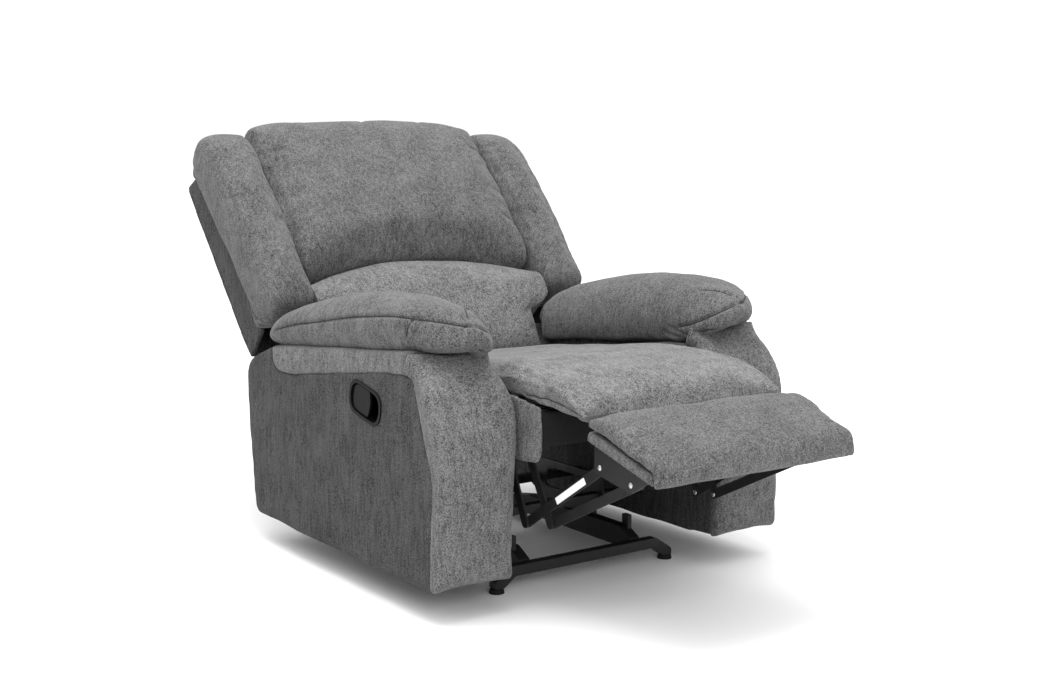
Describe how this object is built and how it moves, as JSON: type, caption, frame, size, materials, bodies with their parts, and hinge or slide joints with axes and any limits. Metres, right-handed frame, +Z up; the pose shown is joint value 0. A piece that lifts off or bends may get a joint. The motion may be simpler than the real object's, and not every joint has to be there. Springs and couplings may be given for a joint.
{
  "type": "recliner armchair",
  "caption": "Padded rocker recliner opened out: back leaned over, footrest raised, pillow-topped arms, black steel linkage and base, release lever in one arm.",
  "frame": {"origin": "on the floor, under the middle of the opened chair's bounding box", "axes": "+Z up, -Y towards the footrest and the sitter's feet, +X towards the sitter's left"},
  "size_m": [1, 1.7783, 1.0525],
  "materials": {
    "cushion_fabric": "heathered chenille",
    "side_fabric": "heathered chenille",
    "board_wood": "raw board",
    "black_steel": "black enamel",
    "black_lining": "woven lining",
    "black_plastic": "satin black",
    "foot_rubber": "matt"
  },
  "bodies": {
    "base": {"base_bar_front": "black_steel", "base_bar_rear": "black_steel", "base_rail_left": "black_steel", "base_rail_right": "black_steel", "foot_front_left": "foot_rubber", "foot_front_right": "foot_rubber", "foot_rear_left": "foot_rubber", "foot_rear_right": "foot_rubber"},
    "frame": {"rocker_cam_left": "black_steel", "rocker_cam_right": "black_steel", "slide_track_left": "black_steel", "slide_track_right": "black_steel", "arm_outer_left": "side_fabric", "arm_outer_right": "side_fabric", "arm_inner_left": "side_fabric", "arm_inner_right": "side_fabric", "arm_rear_left": "side_fabric", "arm_rear_right": "side_fabric", "arm_top_left": "cushion_fabric", "arm_top_right": "cushion_fabric", "arm_front_pad_left": "cushion_fabric", "arm_front_pad_right": "cushion_fabric", "arm_pillow_left": "cushion_fabric", "arm_pillow_right": "cushion_fabric", "frame_crossbar_front": "black_steel", "frame_crossbar_rear": "black_steel", "release_cup": "black_plastic"},
    "lever": {"release_lever": "black_plastic"},
    "seat": {"mechanism_plate_left": "black_steel", "mechanism_plate_right": "black_steel", "seat_side_left": "side_fabric", "seat_side_right": "side_fabric", "seat_front_rail": "black_lining", "seat_rear_rail": "board_wood", "seat_springs": "black_steel", "seat_cushion": "cushion_fabric"},
    "back": {"back_panel": "side_fabric", "back_board": "board_wood", "lumbar_cushion": "cushion_fabric", "upper_cushion": "cushion_fabric", "back_side_left": "side_fabric", "back_side_right": "side_fabric", "back_wing_left": "cushion_fabric", "back_wing_right": "cushion_fabric", "back_bracket_left": "black_steel", "back_bracket_right": "black_steel"},
    "footrest": {"footrest_board": "cushion_fabric", "footrest_pad": "cushion_fabric", "chaise_pad": "cushion_fabric", "footrest_bracket_left": "black_steel", "footrest_bracket_right": "black_steel"},
    "main_rear": {"main_link_rear_left": "black_steel", "main_link_rear_right": "black_steel", "torque_tube": "black_steel"},
    "main_front": {"main_link_front_left": "black_steel", "main_link_front_right": "black_steel"},
    "support_rear": {"support_link_rear_left": "black_steel", "support_link_rear_right": "black_steel"},
    "support_front": {"support_link_front_left": "black_steel", "support_link_front_right": "black_steel"}
  },
  "joints": [
    {"name": "rock", "type": "hinge", "parent": "base", "child": "frame", "pos_m": [0, -0.03, 0.39], "axis": [1, 0, 0], "range_deg": [-5, 5], "stiffness_Nm_per_rad": 1200, "springref_deg": 3},
    {"name": "release_pull", "type": "hinge", "parent": "frame", "child": "lever", "pos_m": [-0.49, -0.1031, 0.4506], "axis": [0, 0.2079, -0.9781], "range_deg": [0, 35], "stiffness_Nm_per_rad": 0.4, "springref_deg": -11.46},
    {"name": "seat_slide", "type": "slide", "parent": "frame", "child": "seat", "axis": [0, 1, 0], "range_m": [0, 0.12]},
    {"name": "back_recline", "type": "hinge", "parent": "seat", "child": "back", "pos_m": [0, 0.21, 0.36], "axis": [1, 0, 0], "range_deg": [0, 26.3]},
    {"name": "footrest_swing", "type": "hinge", "parent": "seat", "child": "footrest", "pos_m": [0, -0.5375, 0.4586], "axis": [1, 0, 0], "range_deg": [0, 75]},
    {"name": "main_rear_turn", "type": "hinge", "parent": "seat", "child": "main_rear", "pos_m": [0, -0.32, 0.412], "axis": [1, 0, 0], "range_deg": [0, 61.7]},
    {"name": "main_front_turn", "type": "hinge", "parent": "footrest", "child": "main_front", "pos_m": [0, -0.691, 0.362], "axis": [1, 0, 0], "range_deg": [-55.4, 0]},
    {"name": "support_rear_turn", "type": "hinge", "parent": "seat", "child": "support_rear", "pos_m": [0, -0.368, 0.43], "axis": [1, 0, 0], "range_deg": [0, 76.9]},
    {"name": "support_front_turn", "type": "hinge", "parent": "footrest", "child": "support_front", "pos_m": [0, -0.79, 0.345], "axis": [1, 0, 0], "range_deg": [-37.7, 0]}
  ],
  "couplings": [
    {"joint": "back_recline", "follows": "seat_slide", "rad_per_m": 3.7815},
    {"joint": "main_rear_turn", "follows": "footrest_swing", "ratio": 0.8172},
    {"joint": "main_front_turn", "follows": "footrest_swing", "ratio": -0.7332},
    {"joint": "support_rear_turn", "follows": "footrest_swing", "ratio": 1.0206},
    {"joint": "support_front_turn", "follows": "footrest_swing", "ratio": -0.4969}
  ]
}
